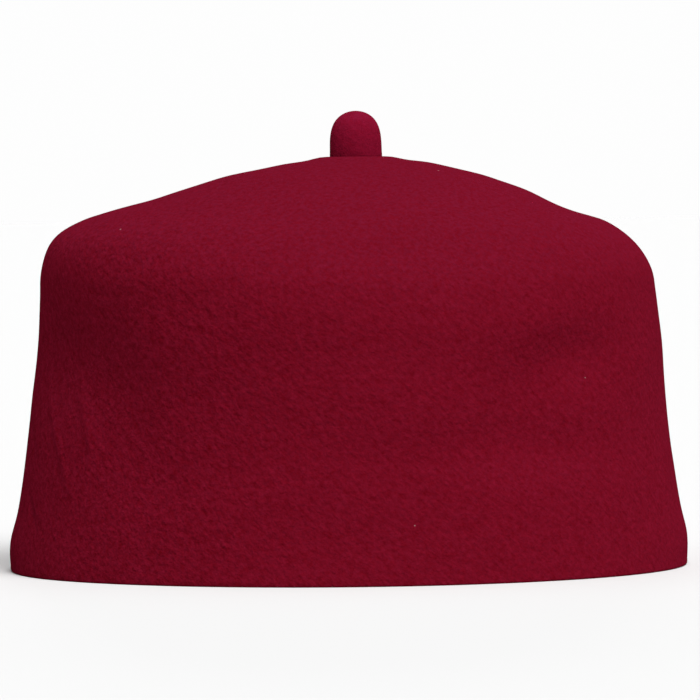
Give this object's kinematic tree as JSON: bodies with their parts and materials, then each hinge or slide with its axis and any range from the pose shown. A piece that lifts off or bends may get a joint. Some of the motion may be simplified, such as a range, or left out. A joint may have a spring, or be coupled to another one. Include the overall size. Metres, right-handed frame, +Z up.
{
  "type": "felt fez hat",
  "caption": "Soft low felt hat without a brim: a flared wall, rounded shoulder and softly coned top that carries a short felt nub. It is open underneath for the head.",
  "frame": {"origin": "middle of the rim, on the surface that the hat rests on", "axes": "+Z up, -Y the front that the picture shows, +X to the right of someone who looks at the front"},
  "size_m": [0.191, 0.187, 0.1275],
  "materials": {
    "crown_felt": "brushed dark red wool felt, matt with a short nap",
    "nub_felt": "dark red wool felt, matt, pressed into a stub"
  },
  "bodies": {
    "root": {"crown": "crown_felt", "nub": "nub_felt"}
  },
  "joints": []
}
